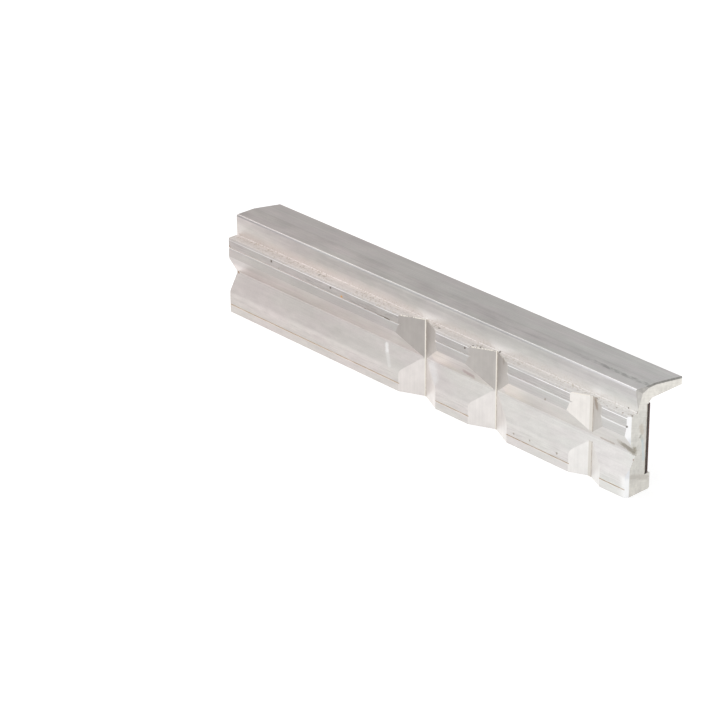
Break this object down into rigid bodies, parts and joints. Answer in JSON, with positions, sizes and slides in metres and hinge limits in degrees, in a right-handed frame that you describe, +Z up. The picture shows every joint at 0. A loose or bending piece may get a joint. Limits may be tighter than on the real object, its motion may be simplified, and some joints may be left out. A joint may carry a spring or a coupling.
{
  "type": "vise soft jaw",
  "caption": "Magnetic aluminium soft jaw for a bench vise, with a lip, a long level V and upright V grooves in its working face, and a magnet strip in its back.",
  "frame": {"origin": "middle of the jaw's box in X and Y, on the surface that the foot stands on", "axes": "+X along the jaw towards the end with the small upright V, -Y out of the working face, +Y towards the lip's tip and the magnet, +Z up from the foot to the lip"},
  "size_m": [0.15, 0.0198, 0.0285],
  "materials": {
    "aluminium": "bare extruded aluminium, sawn and deburred ends, light soiling",
    "magnet": "matt flexible ferrite magnet strip, faintly mottled",
    "tape": "cream adhesive film"
  },
  "bodies": {
    "root": {"jaw_body": "aluminium", "magnet_strip": "magnet", "adhesive_tape": "tape"}
  },
  "joints": []
}
